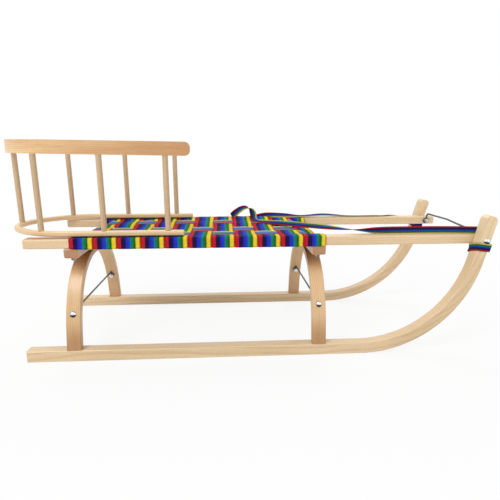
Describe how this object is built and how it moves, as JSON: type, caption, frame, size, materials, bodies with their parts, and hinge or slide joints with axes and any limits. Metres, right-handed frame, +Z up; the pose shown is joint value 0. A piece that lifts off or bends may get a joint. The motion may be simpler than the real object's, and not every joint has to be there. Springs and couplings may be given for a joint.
{
  "type": "wooden horn sled with backrest",
  "caption": "Bent-wood sled with horned runners, a seat of woven rainbow webbing, a spindle backrest and a pull strap.",
  "frame": {"origin": "on the ground under the middle of the sled, midway between the two runners", "axes": "+X to the front, where the horns are; +Y to the sled's left; +Z up"},
  "size_m": [1.0719, 0.3488, 0.462],
  "materials": {
    "runner_beech": "clear lacquered beech, satin",
    "rail_beech": "clear lacquered beech, satin",
    "arch_beech": "clear lacquered beech, satin",
    "crossbar_beech": "clear lacquered beech, satin",
    "hoop_beech": "clear lacquered beech, satin",
    "top_hoop_beech": "clear lacquered beech, satin",
    "spindle_beech": "clear lacquered beech, satin",
    "bolt_chrome": "bright plated",
    "bolt_steel": "zinc plated",
    "tie_steel": "dull galvanized wire",
    "seat_webbing": "woven webbing in rainbow stripes",
    "seat_webbing_long": "woven webbing in rainbow stripes",
    "pull_webbing": "narrow woven webbing in rainbow stripes"
  },
  "bodies": {
    "root": {"runner_left": "runner_beech", "rail_left": "rail_beech", "horn_bolt_left": "bolt_chrome", "pull_strap_loop_left": "pull_webbing", "leg_bolt_rear_left": "bolt_chrome", "rail_bolt_rear_left": "bolt_steel", "leg_bolt_front_left": "bolt_chrome", "rail_bolt_front_left": "bolt_steel", "runner_right": "runner_beech", "rail_right": "rail_beech", "horn_bolt_right": "bolt_chrome", "pull_strap_loop_right": "pull_webbing", "leg_bolt_rear_right": "bolt_chrome", "rail_bolt_rear_right": "bolt_steel", "leg_bolt_front_right": "bolt_chrome", "rail_bolt_front_right": "bolt_steel", "arch_rear": "arch_beech", "crossbar_rear": "crossbar_beech", "tie_wire_rear": "tie_steel", "arch_front": "arch_beech", "crossbar_front": "crossbar_beech", "tie_wire_front": "tie_steel", "tie_wire_horns": "tie_steel", "seat_strap_cross_01": "seat_webbing", "seat_strap_cross_02": "seat_webbing", "seat_strap_cross_03": "seat_webbing", "seat_strap_cross_04": "seat_webbing", "seat_strap_cross_05": "seat_webbing", "seat_strap_cross_06": "seat_webbing", "seat_strap_cross_07": "seat_webbing", "seat_strap_cross_08": "seat_webbing", "seat_strap_cross_09": "seat_webbing", "seat_strap_cross_10": "seat_webbing", "seat_strap_cross_11": "seat_webbing", "seat_strap_long_left": "seat_webbing_long", "seat_strap_long_middle": "seat_webbing_long", "seat_strap_long_right": "seat_webbing_long", "backrest_bottom_hoop": "hoop_beech", "backrest_top_hoop": "top_hoop_beech", "backrest_spindle_1": "spindle_beech", "backrest_spindle_2": "spindle_beech", "backrest_spindle_3": "spindle_beech", "backrest_spindle_4": "spindle_beech", "backrest_spindle_5": "spindle_beech", "backrest_spindle_6": "spindle_beech", "backrest_spindle_7": "spindle_beech", "pull_strap": "pull_webbing"}
  },
  "joints": []
}
